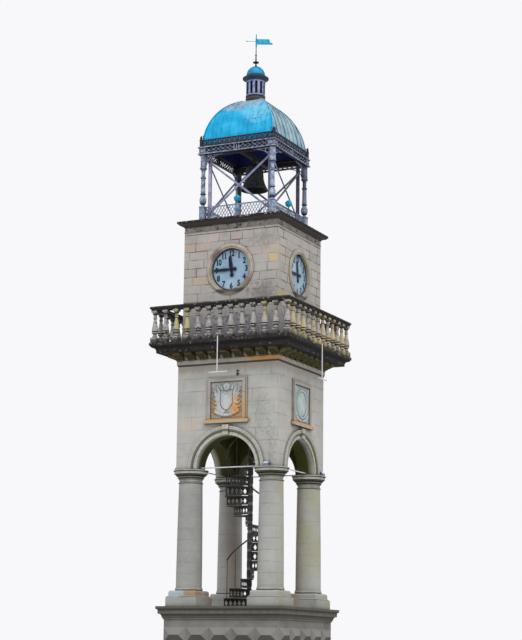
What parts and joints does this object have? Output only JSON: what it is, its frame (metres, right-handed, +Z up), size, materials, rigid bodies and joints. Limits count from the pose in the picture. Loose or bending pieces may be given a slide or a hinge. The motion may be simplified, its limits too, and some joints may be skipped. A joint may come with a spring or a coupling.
{
  "type": "clock tower",
  "caption": "Free-standing stone clock tower: arches on columns, balustraded balcony, dials on every side, open iron belfry with bell, dome, lantern and vane.",
  "frame": {"origin": "centre of the tower's footprint, on the ground", "axes": "+Z up, the front dial faces -Y, the right dial faces +X"},
  "size_m": [3.6563, 3.6563, 16.665],
  "materials": {
    "stone": "dressed limestone with fine joints, ochre and grey patches",
    "base_stone": "dressed limestone, paler",
    "weathered_stone": "limestone blackened by rain and lichen",
    "baluster_stone": "turned limestone, half black, with yellow lichen",
    "relief_stone": "pale carved limestone with ochre stains",
    "ring_stone": "beige turned limestone",
    "dial_enamel": "pale blue enamel",
    "navy_paint": "navy paint",
    "painted_iron": "grey-lilac paint on cast iron, chalky",
    "rusty_iron": "rusted cast iron",
    "black_iron": "dark iron",
    "blue_copper": "bright blue paint on sheet metal, streaked",
    "blue_paint": "bright blue paint",
    "bronze": "dark bronze",
    "white_paint": "white paint",
    "lamp_paint": "blue-grey paint"
  },
  "bodies": {
    "tower": {"plinth_footing": "stone", "plinth_blocks": "stone", "plinth_cornice": "stone", "column_bases": "base_stone", "column_shafts": "stone", "column_capitals": "stone", "front_arch_wall": "stone", "right_arch_wall": "stone", "back_arch_wall": "stone", "left_arch_wall": "stone", "arch_mouldings": "stone", "keystones": "stone", "tie_rods": "black_iron", "panel_frames": "stone", "relief_panels": "relief_stone", "string_course": "weathered_stone", "balcony_brackets": "weathered_stone", "balcony_slab": "weathered_stone", "balusters": "baluster_stone", "balcony_rail": "weathered_stone", "front_clock_wall": "stone", "right_clock_wall": "stone", "back_clock_wall": "stone", "left_clock_wall": "stone", "dial_rings": "ring_stone", "dials": "dial_enamel", "roof_cornice": "weathered_stone", "belfry_floor": "black_iron", "belfry_columns": "painted_iron", "lattice_railings": "painted_iron", "railing_balls": "blue_paint", "bell_frame": "painted_iron", "frame_braces": "painted_iron", "belfry_frieze": "painted_iron", "cresting": "rusty_iron", "dome": "blue_copper", "bell": "bronze", "bell_beam": "black_iron", "lantern_drum": "painted_iron", "lantern_cornice": "black_iron", "small_dome": "blue_copper", "finial": "black_iron", "stair_pole": "black_iron", "stair_treads": "black_iron", "stair_railing": "black_iron", "hanging_rods": "white_paint", "floodlights": "lamp_paint"},
    "front_minute_hand": {"front_minute_hand": "navy_paint"},
    "front_hour_hand": {"front_hour_hand": "navy_paint"},
    "right_minute_hand": {"right_minute_hand": "navy_paint"},
    "right_hour_hand": {"right_hour_hand": "navy_paint"},
    "back_minute_hand": {"back_minute_hand": "navy_paint"},
    "back_hour_hand": {"back_hour_hand": "navy_paint"},
    "left_minute_hand": {"left_minute_hand": "navy_paint"},
    "left_hour_hand": {"left_hour_hand": "navy_paint"},
    "vane": {"weather_vane": "blue_paint"}
  },
  "joints": [
    {"name": "front_minute_hand_turn", "type": "hinge", "parent": "tower", "child": "front_minute_hand", "pos_m": [0, -1.173, 10.43], "axis": [0, 1, 0], "continuous": true},
    {"name": "front_hour_hand_turn", "type": "hinge", "parent": "tower", "child": "front_hour_hand", "pos_m": [0, -1.173, 10.43], "axis": [0, 1, 0], "continuous": true},
    {"name": "right_minute_hand_turn", "type": "hinge", "parent": "tower", "child": "right_minute_hand", "pos_m": [1.173, 0, 10.43], "axis": [-1, 0, 0], "continuous": true},
    {"name": "right_hour_hand_turn", "type": "hinge", "parent": "tower", "child": "right_hour_hand", "pos_m": [1.173, 0, 10.43], "axis": [-1, 0, 0], "continuous": true},
    {"name": "back_minute_hand_turn", "type": "hinge", "parent": "tower", "child": "back_minute_hand", "pos_m": [0, 1.173, 10.43], "axis": [0, -1, 0], "continuous": true},
    {"name": "back_hour_hand_turn", "type": "hinge", "parent": "tower", "child": "back_hour_hand", "pos_m": [0, 1.173, 10.43], "axis": [0, -1, 0], "continuous": true},
    {"name": "left_minute_hand_turn", "type": "hinge", "parent": "tower", "child": "left_minute_hand", "pos_m": [-1.173, 0, 10.43], "axis": [1, 0, 0], "continuous": true},
    {"name": "left_hour_hand_turn", "type": "hinge", "parent": "tower", "child": "left_hour_hand", "pos_m": [-1.173, 0, 10.43], "axis": [1, 0, 0], "continuous": true},
    {"name": "vane_turn", "type": "hinge", "parent": "tower", "child": "vane", "pos_m": [0, 0, 16.4], "axis": [0, 0, 1], "continuous": true}
  ],
  "couplings": [
    {"joint": "front_hour_hand_turn", "follows": "front_minute_hand_turn", "ratio": 0.083333},
    {"joint": "right_minute_hand_turn", "follows": "front_minute_hand_turn", "ratio": 1},
    {"joint": "right_hour_hand_turn", "follows": "front_minute_hand_turn", "ratio": 0.083333},
    {"joint": "back_minute_hand_turn", "follows": "front_minute_hand_turn", "ratio": 1},
    {"joint": "back_hour_hand_turn", "follows": "front_minute_hand_turn", "ratio": 0.083333},
    {"joint": "left_minute_hand_turn", "follows": "front_minute_hand_turn", "ratio": 1},
    {"joint": "left_hour_hand_turn", "follows": "front_minute_hand_turn", "ratio": 0.083333}
  ]
}
